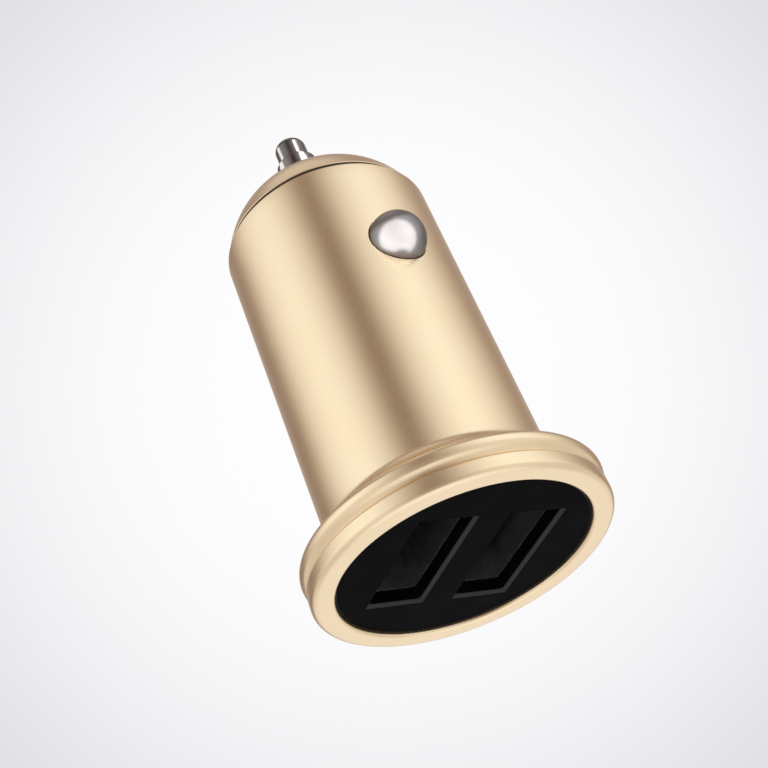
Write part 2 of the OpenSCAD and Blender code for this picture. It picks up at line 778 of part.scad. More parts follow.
// Eight bent leads, four along each long side of the chip
module regulator_leads() {
    pitch = 0.26 * chip_l;
    lead_w = pitch / 3;
    lead_t = 0.2;
    exit_y = board_t / 2 + 0.55 * chip_h;
    start_x = chip_w / 2;
    reach = 1.05;
    foot_y = board_t / 2 + lead_t;
    color("silver")
    for (i = [-1.5 : 1.5])
        translate([inductor_x, 0, parts_z + i * pitch - lead_w / 2]) mirrored([1, 0, 0])
            linear_extrude(height = lead_w) polygon([
                [start_x, -exit_y], [start_x + 0.3, -exit_y], [start_x + 0.55, -foot_y],
                [start_x + reach, -foot_y], [start_x + reach, -board_t / 2],
                [start_x + 0.4, -board_t / 2], [start_x + 0.15, lead_t - exit_y],
                [start_x, lead_t - exit_y]
            ]);
}

// Small moulded diode with a lead at each end, on the margin of the board
module rectifier_diode() {
    w = 1.2;
    l = 2.6;
    h = 1.1;
    color("#2a2a2e")
    translate([-margin_x, board_t / 2, parts_z]) rotate([-90, 0, 0]) {
        translate([0, 0, h / 2 + 0.05]) cube([w, l, h], center = true);
        for (end = [-1, 1]) translate([0, end * (l / 2 + 0.25), 0.1]) cube([0.7, 0.6, 0.2], center = true);
    }
}

// Chip fuse with a raised middle and plated ends
module input_fuse() {
    l = 3.2;
    h = 0.7;
    color("white")
    translate([margin_x, board_t / 2, parts_z]) rotate([-90, 0, 0]) {
        translate([0, 0, h / 2]) cube([fuse_w - 0.1, l, h], center = true);
        for (end = [-1, 1])
            translate([0, end * (l / 2 - 0.25), h / 2]) cube([fuse_w, 0.6, h], center = true);
    }
}

// Chip resistors in a row along each margin of the board, beside the ports
module chip_resistors() {
    w = 1.2;
    l = 2;
    h = 0.5;
    pitch = 2.6;
    rows = 3;
    color("black")
    for (side = [-1, 1], i = [0 : rows - 1])
        translate([side * margin_x, side * (board_t / 2 + h / 2), leg_z[0] + i * pitch])
            cube([w, h, l], center = true);
}

barrel_housing();
nose_cap();
front_plate();
tip_bush();
tip_pin();
tip_spring();
positive_terminal();
contact_carrier();
side_contact_right();
side_contact_left();
side_spring_right();
side_spring_left();
ground_strap_right();
ground_strap_left();
port_shell_1();
port_shell_2();
port_tongue_1();
port_tongue_2();
port_blades_1();
port_blades_2();
main_board();
insulating_film();
inductor_core();
inductor_winding();
input_capacitor();
output_capacitor();
regulator_chip();
regulator_leads();
rectifier_diode();
input_fuse();
chip_resistors();
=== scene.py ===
import math

import bmesh
import bpy
from mathutils import Matrix, Vector


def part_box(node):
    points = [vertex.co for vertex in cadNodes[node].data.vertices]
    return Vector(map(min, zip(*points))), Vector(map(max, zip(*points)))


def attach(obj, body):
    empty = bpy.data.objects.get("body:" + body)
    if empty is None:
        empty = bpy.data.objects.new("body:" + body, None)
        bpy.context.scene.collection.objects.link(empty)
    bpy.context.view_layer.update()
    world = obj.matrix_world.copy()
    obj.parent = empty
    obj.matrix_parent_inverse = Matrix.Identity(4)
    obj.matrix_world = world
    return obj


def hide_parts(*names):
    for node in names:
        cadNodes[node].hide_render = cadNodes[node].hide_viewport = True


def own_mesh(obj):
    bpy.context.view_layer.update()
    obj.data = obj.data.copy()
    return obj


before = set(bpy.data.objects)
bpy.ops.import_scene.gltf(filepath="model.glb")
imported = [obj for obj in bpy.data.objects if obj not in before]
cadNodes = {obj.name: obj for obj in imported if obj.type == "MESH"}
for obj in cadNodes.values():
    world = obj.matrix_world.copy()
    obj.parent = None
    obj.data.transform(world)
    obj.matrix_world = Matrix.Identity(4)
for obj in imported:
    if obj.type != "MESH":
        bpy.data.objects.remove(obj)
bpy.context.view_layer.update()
scene = bpy.context.scene
mm = 0.001
weldGap = 1e-7  # metres between points that count as one
print("frame loaded:", len(cadNodes), "nodes")


def nodeBox(name):
    # Low and high corner of a CAD node, in mm
    low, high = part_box(name)
    return low / mm, high / mm


# Helpers for shader and geometry trees
def put(tree, kind, inputs=None, **settings):
    node = tree.nodes.new(kind)
    for name, value in settings.items():
        setattr(node, name, value)
    for key, value in (inputs or {}).items():
        if isinstance(value, bpy.types.NodeSocket):
            tree.links.new(value, node.inputs[key])
        else:
            node.inputs[key].default_value = value
    return node


def calc(tree, operation, a, b=0.0, clamp=False):
    return put(tree, "ShaderNodeMath", {0: a, 1: b}, operation=operation, use_clamp=clamp).outputs[0]


def plus(tree, a, b):
    return calc(tree, "ADD", a, b)


def minus(tree, a, b, clamp=False):
    return calc(tree, "SUBTRACT", a, b, clamp)


def times(tree, a, b):
    return calc(tree, "MULTIPLY", a, b)


def over(tree, a, b, clamp=False):
    return calc(tree, "DIVIDE", a, b, clamp)


def spread(tree, value, low, high, outLow=0.0, outHigh=1.0, kind="LINEAR"):
    inputs = {"Value": value, "From Min": low, "From Max": high, "To Min": outLow, "To Max": outHigh}
    return put(tree, "ShaderNodeMapRange", inputs, interpolation_type=kind).outputs["Result"]


def ramp(tree, factor, stops, kind="LINEAR"):
    node = put(tree, "ShaderNodeValToRGB", {"Fac": factor})
    node.color_ramp.interpolation = kind
    elements = node.color_ramp.elements
    while len(elements) < len(stops):
        elements.new(0.5)
    for element, (place, colour) in zip(elements, stops):
        element.position = place
        element.color = (*colour, 1.0)
    return node.outputs["Color"]


def mixColour(tree, factor, a, b):
    node = put(tree, "ShaderNodeMix", {"Factor": factor}, data_type="RGBA")
    for key, value in (("A", a), ("B", b)):
        if isinstance(value, tuple):
            node.inputs[key].default_value = (*value, 1.0)
        else:
            tree.links.new(value, node.inputs[key])
    return node.outputs["Result"]


# Camera below the flange, looking up along the plug. Places are in mm
cameraView = {
    "place": (84.11, -57.81, -49.53),
    "forward": (-0.6831, 0.46436, 0.56368),
    "up": (0.64867, 0.03115, 0.76043),
    "lens": 62.69,
    "sensor": 36.0,
    "nearest": 1.0,
}


def makeCamera():
    data = bpy.data.cameras.new("camera")
    data.lens = cameraView["lens"]
    data.sensor_width = cameraView["sensor"]
    data.clip_start = cameraView["nearest"] * mm
    camera = bpy.data.objects.new("camera", data)
    scene.collection.objects.link(camera)
    forward = Vector(cameraView["forward"]).normalized()
    right = forward.cross(Vector(cameraView["up"])).normalized()
    turn = Matrix((right, right.cross(forward), -forward)).transposed()
    camera.matrix_world = Matrix.Translation(Vector(cameraView["place"]) * mm) @ turn.to_4x4()
    scene.camera = camera


# Plain studio: a pale surround, which polished metal sees as broad soft panels with gaps between.
# Each strip lists its stops: degrees to the right of the camera's side, and brightness
studio = {
    "middle": (0.985, 0.985, 1.0),
    "corner": (0.72, 0.71, 0.735),
    "cornerAngle": 25.0,
    "panels": [
        (-180, 0.72), (-162, 0.60), (-146, 0.36), (-135, 0.30), (-119, 0.32), (-104, 0.74),
        (-88, 1.04), (-66, 1.24), (-46, 1.20), (-26, 0.90), (-10, 0.32), (0, 0.24), (7, 0.27),
        (24, 0.88), (44, 1.20), (60, 1.27), (76, 1.19), (96, 0.90), (116, 0.54), (132, 0.36),
        (146, 0.40), (162, 0.62), (180, 0.72),
    ],
    "below": [
        (-180, 1.06), (-150, 0.96), (-120, 0.76), (-90, 0.80), (-50, 1.0), (-28, 0.85), (-12, 0.42),
        (0, 0.34), (12, 0.42), (28, 0.85), (60, 1.0), (95, 0.84), (130, 0.78), (155, 0.96), (180, 1.06),
    ],
    "bottom": 1.16, "ring": 0.42, "zenith": 0.75,
    "bottomRise": (-66.0, -50.0), "horizonRise": (-14.0, 0.0),
    "ringRise": (46.0, 58.0), "zenithRise": (66.0, 80.0),
    "warmth": (1.0, 1.23, 1.38),
    "diffuse": 0.82,
}


def makeWorld():
    world = bpy.data.worlds.new("studio")
    scene.world = world
    world.use_nodes = True
    tree = world.node_tree
    tree.nodes.clear()
    direction = put(tree, "ShaderNodeTexCoord").outputs["Generated"]

    def along(axis):
        node = put(tree, "ShaderNodeVectorMath", {0: direction, 1: axis}, operation="DOT_PRODUCT")
        return node.outputs["Value"]

    def level(brightness):
        # Gaps between the panels look a little warmer than the panels
        return tuple(brightness ** power for power in studio["warmth"])

    def strip(name):
        # A colour ramp holds no more than 1, so it is drawn at half level and doubled
        stops = [((angle + 180) / 360, tuple(0.5 * v for v in level(value))) for angle, value in studio[name]]
        colour = ramp(tree, turned, stops, "B_SPLINE")
        return put(tree, "ShaderNodeVectorMath", {0: colour, "Scale": 2.0}, operation="SCALE").outputs[0]

    def rise(name):
        bounds = [math.sin(math.radians(v)) for v in studio[name]]
        return spread(tree, height, *bounds, kind="SMOOTHSTEP")

    forward = Vector(cameraView["forward"]).normalized()
    towards = -Vector((forward.x, forward.y, 0.0)).normalized()
    beside = Vector((-towards.y, towards.x, 0.0))
    height = along((0.0, 0.0, 1.0))
    edge = math.cos(math.radians(studio["cornerAngle"]))
    backdrop = ramp(tree, spread(tree, along(forward), edge, 1.0, kind="SMOOTHSTEP"),
                    [(0.0, studio["corner"]), (1.0, studio["middle"])])
    turned = spread(tree, calc(tree, "ARCTAN2", along(beside), along(towards)), -math.pi, math.pi)
    gloss = mixColour(tree, rise("bottomRise"), level(studio["bottom"]), strip("below"))
    gloss = mixColour(tree, rise("horizonRise"), gloss, strip("panels"))
    gloss = mixColour(tree, rise("ringRise"), gloss, level(studio["ring"]))
    gloss = mixColour(tree, rise("zenithRise"), gloss, level(studio["zenith"]))
    paths = put(tree, "ShaderNodeLightPath").outputs
    unseen = mixColour(tree, paths["Is Glossy Ray"], (studio["diffuse"],) * 3, gloss)
    seen = calc(tree, "MAXIMUM", paths["Is Camera Ray"], paths["Is Transmission Ray"])
    light = put(tree, "ShaderNodeBackground", {"Color": mixColour(tree, seen, unseen, backdrop)})
    put(tree, "ShaderNodeOutputWorld", {"Surface": light.outputs["Background"]})


# Places and sizes in mm, power in watts
lamps = {
    "key": {"place": (-120, -170, 210), "size": 160, "power": 0.22},
    "fill": {"place": (230, 60, 120), "size": 180, "power": 0.16},
    "front": {"place": (60, -80, -200), "size": 200, "power": 0.16},
}
# These show only as highlights, each in the polished piece that it names
discs = {
    "discRight": {"place": (80, -46.4, -28), "aim": (10.2, 0, 28.4), "size": 800, "power": 5.4,
                  "lights": "contactRight"},
    "discLeft": {"place": (-80, -46.4, 60), "aim": (-10.2, 0, 28.4), "size": 800, "power": 4.0,
                 "lights": "contactLeft"},
    "tipRight": {"place": (227, 86, 226), "aim": (0, 0, 50), "size": 170, "power": 0.50, "lights": "tip"},
    "tipLeft": {"place": (-129, -205, 226), "aim": (0, 0, 50), "size": 170, "power": 0.25, "lights": "tip"},
}
polished = {name: bpy.data.collections.new(name + "Lit") for name in ("contactRight", "contactLeft", "tip")}


def makeLamps():
    for name, lamp in {**lamps, **discs}.items():
        data = bpy.data.lights.new(name, "AREA")
        data.size = lamp["size"] * mm
        data.energy = lamp["power"]
        holder = bpy.data.objects.new(name, data)
        scene.collection.objects.link(holder)
        place = Vector(lamp["place"]) * mm
        aim = Vector(lamp.get("aim", (0, 0, 0))) * mm
        holder.location = place
        holder.rotation_euler = (aim - place).to_track_quat("-Z", "Y").to_euler()
        holder.visible_camera = False
        holder.visible_glossy = name in discs
        if name in discs:
            data.shape = "DISK"
            holder.light_linking.receiver_collection = polished[lamp["lights"]]


# A ring of floor, open under the plug, that fades out between two distances from the axis, in mm
floor = {
    "rings": (13.02, 20.0, 40.0, 120.0, 900.0), "steps": 128,
    "colour": (0.86, 0.855, 0.87), "fade": (90.0, 420.0),
}


def makeFloor():
    mesh = bpy.data.meshes.new("floor")
    built = bmesh.new()
    steps = floor["steps"]
    turns = [2 * math.pi * i / steps for i in range(steps)]
    rows = [[built.verts.new((r * mm * math.cos(a), r * mm * math.sin(a), 0.0)) for a in turns]
            for r in floor["rings"]]
    for inner, outer in zip(rows, rows[1:]):
        for i in range(steps):
            j = (i + 1) % steps
            built.faces.new((inner[i], outer[i], outer[j], inner[j]))
    built.to_mesh(mesh)
    built.free()
    piece = bpy.data.objects.new("floor", mesh)
    scene.collection.objects.link(piece)
    material = bpy.data.materials.new("paleFloor")
    material.use_nodes = True
    tree = material.node_tree
    tree.nodes.clear()
    point = put(tree, "ShaderNodeTexCoord").outputs["Object"]
    distance = put(tree, "ShaderNodeVectorMath", {0: point}, operation="LENGTH").outputs["Value"]
    paths = put(tree, "ShaderNodeLightPath").outputs
    fade = spread(tree, distance, *[v * mm for v in floor["fade"]], kind="SMOOTHSTEP")
    behind = put(tree, "ShaderNodeNewGeometry").outputs["Backfacing"]
    # It is clear from below, to shadow rays and in polished metal
    hidden = calc(tree, "MAXIMUM", fade, behind)
    for kind in ("Is Shadow Ray", "Is Glossy Ray"):
        hidden = calc(tree, "MAXIMUM", hidden, paths[kind])
    surface = put(tree, "ShaderNodeBsdfDiffuse", {"Color": (*floor["colour"], 1.0)})
    clear = put(tree, "ShaderNodeBsdfTransparent")
    mixed = put(tree, "ShaderNodeMixShader", {0: hidden, 1: surface.outputs[0], 2: clear.outputs[0]})
    put(tree, "ShaderNodeOutputMaterial", {"Surface": mixed.outputs[0]})
    mesh.materials.append(material)


scene.view_settings.view_transform = "Standard"
makeCamera()
makeWorld()
makeLamps()
makeFloor()
print("studio ready")


# Materials. All patterns run on object coordinates, and their sizes are in mm
noiseSpan = (0.3, 0.7)  # the part of a noise that is stretched over the whole change
metals = {"patch": 1.6, "bumpDepth": 0.004}
plastics = {"patch": 2.5, "bumpDepth": 0.01, "detail": 4.0}


def newMaterial(name, **values):
    material = bpy.data.materials.new(name)
    material.use_nodes = True
    tree = material.node_tree
    shader = tree.nodes["Principled BSDF"]
    for socket, value in values.items():
        shader.inputs[socket.replace("_", " ")].default_value = value
    return material, tree, shader


def objectPoint(tree, stretch=(1.0, 1.0, 1.0)):
    point = put(tree, "ShaderNodeTexCoord").outputs["Object"]
    return put(tree, "ShaderNodeMapping", {"Vector": point, "Scale": stretch}).outputs["Vector"]


def objectAxes(tree):
    point = put(tree, "ShaderNodeTexCoord").outputs["Object"]
    return put(tree, "ShaderNodeSeparateXYZ", {"Vector": point}).outputs


def noise(tree, size, detail=3.0, point=None):
    inputs = {"Vector": point or objectPoint(tree), "Scale": 1.0 / (size * mm), "Detail": detail}
    return put(tree, "ShaderNodeTexNoise", inputs).outputs["Fac"]


def feed(shader, socket, value):
    shader.id_data.links.new(value, shader.inputs[socket])


def bump(tree, shader, height, strength, depth, before=None):
    inputs = {"Height": height, "Strength": strength, "Distance": depth * mm}
    if before:
        inputs["Normal"] = before
    normal = put(tree, "ShaderNodeBump", inputs).outputs["Normal"]
    feed(shader, "Normal", normal)
    return normal


def colourBy(tree, pattern, deep, light, span=noiseSpan):
    return ramp(tree, pattern, [(span[0], deep), (span[1], light)])


def roughenBy(tree, shader, pattern, rough):
    feed(shader, "Roughness", spread(tree, pattern, *noiseSpan, *rough))


def blend(tree, a, b, share=0.5):
    return plus(tree, times(tree, a, 1 - share), times(tree, b, share))


gold = {
    "light": (0.850, 0.685, 0.465), "deep": (0.835, 0.660, 0.440), "rough": (0.25, 0.30), "patch": 6.0,
    "lines": 0.05, "lineTurn": 0.4, "lineBump": (0.05, 0.004),
    "grain": 0.035, "grainBump": (0.08, 0.003),
}


def turnedPoint(tree):
    # Distance from the axis, a little of the turn, and height: a noise on it makes rings round the Z axis
    axes = objectAxes(tree)
    square = plus(tree, times(tree, axes["X"], axes["X"]), times(tree, axes["Y"], axes["Y"]))
    turn = times(tree, calc(tree, "ARCTAN2", axes["Y"], axes["X"]), gold["lineTurn"] * mm)
    spot = {"X": calc(tree, "SQRT", square), "Y": turn, "Z": axes["Z"]}
    return put(tree, "ShaderNodeCombineXYZ", spot).outputs["Vector"]


def goldAluminium():
    g = gold
    material, tree, shader = newMaterial("satinGold", Metallic=1.0)
    rings = noise(tree, g["lines"], 2.0, turnedPoint(tree))
    grain = noise(tree, g["grain"], 2.0)
    patches = noise(tree, g["patch"])
    feed(shader, "Base Color", colourBy(tree, patches, g["deep"], g["light"]))
    roughenBy(tree, shader, blend(tree, rings, patches), g["rough"])
    first = bump(tree, shader, rings, *g["lineBump"])
    bump(tree, shader, grain, *g["grainBump"], first)
    return material


# The bevels round the slots lie between the heights in "bevel", and carry a painted highlight: they are a
# little lighter, unevenly along the grain
plateBlack = {
    "dark": (0.0015, 0.0014, 0.0018), "light": (0.0030, 0.0028, 0.0036), "mouth": (0.044, 0.044, 0.048),
    "bevel": (0.43, 0.50, 0.70, 0.78), "highlightSpan": (0.3, 0.6), "leastHighlight": 0.6,
    "grain": 0.09, "grainBump": (0.25, 0.01), "patch": 3.0, "rough": (0.34, 0.50), "gloss": 0.006,
}


def blackPlastic():
    p = plateBlack
    material, tree, shader = newMaterial("mouldedBlack", IOR=1.5, Specular_IOR_Level=p["gloss"])
    grain = noise(tree, p["grain"])
    patches = noise(tree, p["patch"], 2.0)
    height = objectAxes(tree)["Z"]
    start, full, end, gone = [v * mm for v in p["bevel"]]
    within = minus(tree, spread(tree, height, start, full), spread(tree, height, end, gone), True)
    # Painted highlight: the slot bevels are made lighter, broken up by the grain
    paintedBevelHighlight = times(tree, within, spread(tree, grain, *p["highlightSpan"], p["leastHighlight"]))
    colour = colourBy(tree, patches, p["dark"], p["light"])
    feed(shader, "Base Color", mixColour(tree, paintedBevelHighlight, colour, p["mouth"]))
    roughenBy(tree, shader, grain, p["rough"])
    bump(tree, shader, grain, *p["grainBump"])
    return material


def metal(name, light, deep, rough, grainSize=0.12, strength=0.12, stretch=(1.0, 1.0, 1.0)):
    material, tree, shader = newMaterial(name, Metallic=1.0)
    scratches = noise(tree, grainSize, point=objectPoint(tree, stretch))
    patches = noise(tree, metals["patch"])
    feed(shader, "Base Color", colourBy(tree, patches, deep, light))
    roughenBy(tree, shader, blend(tree, scratches, patches), rough)
    bump(tree, shader, scratches, strength, metals["bumpDepth"])
    return material


def plastic(name, light, deep, rough, grainSize=0.15, strength=0.15, **values):
    material, tree, shader = newMaterial(name, IOR=1.5, **values)
    grain = noise(tree, grainSize, plastics["detail"])
    patches = noise(tree, plastics["patch"])
    feed(shader, "Base Color", colourBy(tree, patches, deep, light))
    roughenBy(tree, shader, grain, rough)
    bump(tree, shader, grain, strength, plastics["bumpDepth"])
    return material


# The cans stand out to both sides of the board, each on a black moulded base
canFinish = {
    "light": (0.76, 0.77, 0.79), "deep": (0.68, 0.69, 0.71), "rough": (0.24, 0.36), "grain": 0.10,
    "base": (0.012, 0.012, 0.014), "baseTop": 1.4,
}


def canAluminium():
    c = canFinish
    material = metal("canAluminium", c["light"], c["deep"], c["rough"], c["grain"], stretch=(1, 0.1, 1))
    tree = material.node_tree
    shader = tree.nodes["Principled BSDF"]
    out = calc(tree, "ABSOLUTE", objectAxes(tree)["Y"])
    isCan = calc(tree, "GREATER_THAN", out, c["baseTop"] * mm)
    bare = shader.inputs["Base Color"].links[0].from_socket
    feed(shader, "Base Color", mixColour(tree, isCan, c["base"], bare))
    feed(shader, "Metallic", isCan)
    return material


laminate = {
    "deep": (0.008, 0.075, 0.028), "light": (0.015, 0.13, 0.045), "track": (0.05, 0.26, 0.09),
    "rough": (0.30, 0.42), "patch": 2.0, "span": (0.25, 0.75),
    "weave": 0.9, "distortion": 0.6, "clothShare": 0.3, "clothBump": (0.1, 0.01),
    "tracks": 5.0, "trackShare": 0.4, "trackBump": (0.4, 0.03),
}


def boardLaminate():
    b = laminate
    material, tree, shader = newMaterial("solderMask", IOR=1.5, Coat_Weight=0.3, Coat_Roughness=0.12)
    point = objectPoint(tree)

    def threads(direction):
        inputs = {"Vector": point, "Scale": 1.0 / (b["weave"] * mm), "Distortion": b["distortion"]}
        return put(tree, "ShaderNodeTexWave", inputs, bands_direction=direction).outputs["Fac"]

    cloth = times(tree, threads("X"), threads("Z"))
    inputs = {"Vector": point, "Scale": 1.0 / (b["tracks"] * mm)}
    tracks = put(tree, "ShaderNodeTexBrick", inputs).outputs["Fac"]
    patches = noise(tree, b["patch"])
    green = colourBy(tree, blend(tree, patches, cloth, b["clothShare"]), b["deep"], b["light"], b["span"])
    feed(shader, "Base Color", mixColour(tree, times(tree, tracks, b["trackShare"]), green, b["track"]))
    roughenBy(tree, shader, patches, b["rough"])
    first = bump(tree, shader, cloth, *b["clothBump"])
    bump(tree, shader, tracks, *b["trackBump"], first)
    return material


# Metals and plastics list light and deep colour, roughness from and to, grain size, bump strength and stretch
finishes = {
    "gold_aluminium": goldAluminium(),
    "black_plastic": blackPlastic(),
    "nickel_plate": metal("polishedNickel", (0.245, 0.231, 0.229), (0.215, 0.202, 0.20), (0.27, 0.33),
                          0.2, 0.04),
    "spring_steel": metal("springWire", (0.62, 0.60, 0.57), (0.50, 0.48, 0.46), (0.22, 0.34), 0.08, 0.2),
    "brass_strip": metal("brassStrip", (0.82, 0.60, 0.27), (0.70, 0.48, 0.19), (0.22, 0.36), 0.10, 0.15,
                         (1, 1, 0.1)),
    "ivory_plastic": plastic("ivoryNylon", (0.80, 0.75, 0.62), (0.74, 0.68, 0.54), (0.42, 0.56)),
    "port_steel": metal("portSteel", (0.60, 0.60, 0.61), (0.56, 0.56, 0.57), (0.26, 0.34), 0.05, 0.04,
                        (1, 1, 0.15)),
    "port_plastic": plastic("portPlastic", (0.010, 0.010, 0.012), (0.006, 0.006, 0.008), (0.38, 0.52),
                            Specular_IOR_Level=0.1),
    "gilt_blade": metal("giltContact", (0.92, 0.68, 0.32), (0.84, 0.58, 0.24), (0.16, 0.26), 0.08, 0.08,
                        (1, 1, 0.1)),
    "green_laminate": boardLaminate(),
    "film": plastic("amberFilm", (0.80, 0.42, 0.07), (0.66, 0.31, 0.04), (0.12, 0.22), 0.6, 0.1,
                    Transmission_Weight=0.35),
    "ferrite": plastic("ferrite", (0.060, 0.058, 0.060), (0.034, 0.033, 0.036), (0.5, 0.7), 0.12, 0.5),
    "copper_wire": metal("copperWire", (0.82, 0.36, 0.16), (0.66, 0.25, 0.10), (0.2, 0.32), 0.10, 0.1),
    "can_aluminium": canAluminium(),
    "chip_resin": plastic("chipResin", (0.022, 0.022, 0.025), (0.012, 0.012, 0.014), (0.48, 0.62), 0.10, 0.4),
    "tin_lead": metal("tinPlate", (0.72, 0.72, 0.73), (0.60, 0.60, 0.62), (0.2, 0.36), 0.25, 0.25),
    "white_ceramic": plastic("ceramic", (0.82, 0.82, 0.80), (0.72, 0.72, 0.71), (0.3, 0.45)),
}

# The tip is a darker plate than the side contacts. The ring in the seam is a dark brown plastic that paints
# the shade in the groove between cap and barrel
darkNickel = metal("darkNickel", (0.19, 0.176, 0.170), (0.160, 0.148, 0.143), (0.11, 0.16), 0.2, 0.04)
seamShadeBrown = plastic("seamShadeBrown", (0.050, 0.034, 0.022), (0.032, 0.022, 0.014), (0.4, 0.55),
                    Specular_IOR_Level=0.2)

slotOfNode = {name: node.data.materials[0].name.split(".")[0] for name, node in cadNodes.items()}
for name, node in cadNodes.items():
    node.data.materials[0] = finishes[slotOfNode[name]]
print("finishes ready:", len(finishes))


# Geometry trees: each has named inputs and ends in one realized mesh with its material set
placing = {"Turn": "Rotation", "Lift": "Vector"}


def newTree(name, sockets):
    tree = bpy.data.node_groups.new(name, "GeometryNodeTree")
    tree.interface.new_socket("Geometry", in_out="INPUT", socket_type="NodeSocketGeometry")
    for label, kind in {**sockets, "Material": "Material"}.items():
        tree.interface.new_socket(label, in_out="INPUT", socket_type="NodeSocket" + kind)
    tree.interface.new_socket("Geometry", in_out="OUTPUT", socket_type="NodeSocketGeometry")
    return tree, put(tree, "NodeGroupInput").outputs


def grow(tree, kind, inputs=None):
    return put(tree, "GeometryNode" + kind, inputs).outputs[0]


def endTree(tree, given, geometry):
    whole = grow(tree, "RealizeInstances", {"Geometry": geometry})
    painted = grow(tree, "SetMaterial", {"Geometry": whole, "Material": given["Material"]})
    put(tree, "NodeGroupOutput", {"Geometry": painted})
    return tree


def combine(tree, **axes):
    return put(tree, "ShaderNodeCombineXYZ", axes).outputs[0]


def moved(tree, geometry, **values):
    return grow(tree, "Transform", {"Geometry": geometry, **values})


def circleOf(tree, steps, radius):
    return grow(tree, "CurvePrimitiveCircle", {"Resolution": steps, "Radius": radius})


def wireOf(tree, given, curve, **values):
    section = circleOf(tree, given["Sides"], given["Wire Radius"])
    return grow(tree, "CurveToMesh", {"Curve": curve, "Profile Curve": section, **values})


def creased(tree, geometry, crease):
    # Smooth faces with sharp edges where the surface turns by more than the crease angle
    angle = grow(tree, "InputMeshEdgeAngle")
    sharp = put(tree, "FunctionNodeCompare", {0: angle, 1: crease}, operation="GREATER_THAN").outputs[0]
    smooth = grow(tree, "SetShadeSmooth", {"Geometry": geometry})
    node = put(tree, "GeometryNodeStoreNamedAttribute", {"Geometry": smooth, "Name": "sharp_edge"},
               data_type="BOOLEAN", domain="EDGE")
    tree.links.new(sharp, node.inputs["Value"])
    return node.outputs[0]


def endPlaced(tree, given, geometry, crease):
    smooth = creased(tree, geometry, crease)
    return endTree(tree, given, moved(tree, smooth, Translation=given["Lift"], Rotation=given["Turn"]))


def useTree(piece, tree, values):
    modifier = piece.modifiers.new("build", "NODES")
    modifier.node_group = tree
    names = {item.name: item.identifier for item in tree.interface.items_tree if item.in_out == "INPUT"}
    for name, value in values.items():
        modifier[names[name]] = value


def settle(piece):
    # The evaluated result becomes a plain mesh whose faces point outwards
    graph = bpy.context.evaluated_depsgraph_get()
    mesh = bpy.data.meshes.new_from_object(piece.evaluated_get(graph), preserve_all_data_layers=True,
                                           depsgraph=graph)
    piece.modifiers.clear()
    piece.data = mesh
    mesh.name = piece.name
    built = bmesh.new()
    built.from_mesh(mesh)
    if built.calc_volume(signed=True) < 0:
        bmesh.ops.reverse_faces(built, faces=built.faces)
    built.to_mesh(mesh)
    built.free()
    return piece


def newPiece(name, points=(), edges=(), faces=()):
    mesh = bpy.data.meshes.new(name)
    mesh.from_pydata([Vector(p) * mm for p in points], edges, faces)
    piece = bpy.data.objects.new(name, mesh)
    scene.collection.objects.link(piece)
    return piece


def dress(piece, body, slotName, *replaced):
    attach(piece, body)
    if replaced:
        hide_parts(*replaced)
    return piece


lathe = {
    "segments": 192, "crease": 28.0, "axisRadius": 1.0, "drillSteps": 128, "drillLength": 60.0,
    "roundSteps": 4, "roundShare": 0.49,
}


def turnedTree():
    # Turns the outline of the piece round the Z axis
    tree, given = newTree("turned", {"Segments": "Int", "Crease": "Float", "Hole Radius": "Float",
                                     "Hole Height": "Float", **placing})
    outline = grow(tree, "MeshToCurve", {"Mesh": given["Geometry"]})
    ring = lathe["axisRadius"] * mm
    shifted = moved(tree, outline, Translation=(-ring, 0.0, 0.0), Scale=(1.0, -1.0, 1.0))
    circle = circleOf(tree, given["Segments"], ring)
    swept = grow(tree, "CurveToMesh", {"Curve": circle, "Profile Curve": shifted})
    closed = grow(tree, "MergeByDistance", {"Geometry": swept, "Distance": weldGap})
    # A drill along X for the side contacts, where the piece has them
    holeR, depth = given["Hole Radius"], lathe["drillLength"] * mm
    drill = grow(tree, "MeshCylinder", {"Vertices": lathe["drillSteps"], "Radius": holeR, "Depth": depth})
    height = combine(tree, Z=given["Hole Height"])
    drill = moved(tree, drill, Translation=height, Rotation=(0.0, math.pi / 2, 0.0))
    cut = put(tree, "GeometryNodeMeshBoolean", {0: closed}, operation="DIFFERENCE", solver="EXACT")
    tree.links.new(drill, cut.inputs[1])
    drilled = put(tree, "FunctionNodeCompare", {0: holeR, 1: 0.0}, operation="GREATER_THAN").outputs[0]
    chosen = grow(tree, "Switch", {"Switch": drilled, "False": closed, "True": cut.outputs["Mesh"]})
    return endPlaced(tree, given, chosen, given["Crease"])


turned = turnedTree()


# Outlines of turned pieces: distance from the axis, height and the rounding of the corner, in mm
def arcPoints(centre, radius, start, end, steps=10):
    angles = [math.radians(start + (end - start) * i / steps) for i in range(steps + 1)]
    return [(centre[0] + radius * math.cos(a), centre[1] + radius * math.sin(a), 0.0) for a in angles]


def softened(corners, isLoop):
    points = []
    count = len(corners)
    steps = lathe["roundSteps"]
    for i, (r, z, rounding) in enumerate(corners):
        here = Vector((r, z))
        atEnd = not isLoop and i in (0, count - 1)
        if rounding == 0 or atEnd:
            points.append(here)
            continue
        before = Vector(corners[i - 1][:2])
        after = Vector(corners[(i + 1) % count][:2])
        back, ahead = (before - here), (after - here)
        half = back.angle(ahead) / 2
        longest = lathe["roundShare"] * min(back.length, ahead.length)
        reach = min(rounding / math.tan(half), longest)
        start, end = here + back.normalized() * reach, here + ahead.normalized() * reach
        for k in range(steps + 1):
            t = k / steps
            points.append((1 - t) ** 2 * start + 2 * t * (1 - t) * here + t ** 2 * end)
    return points


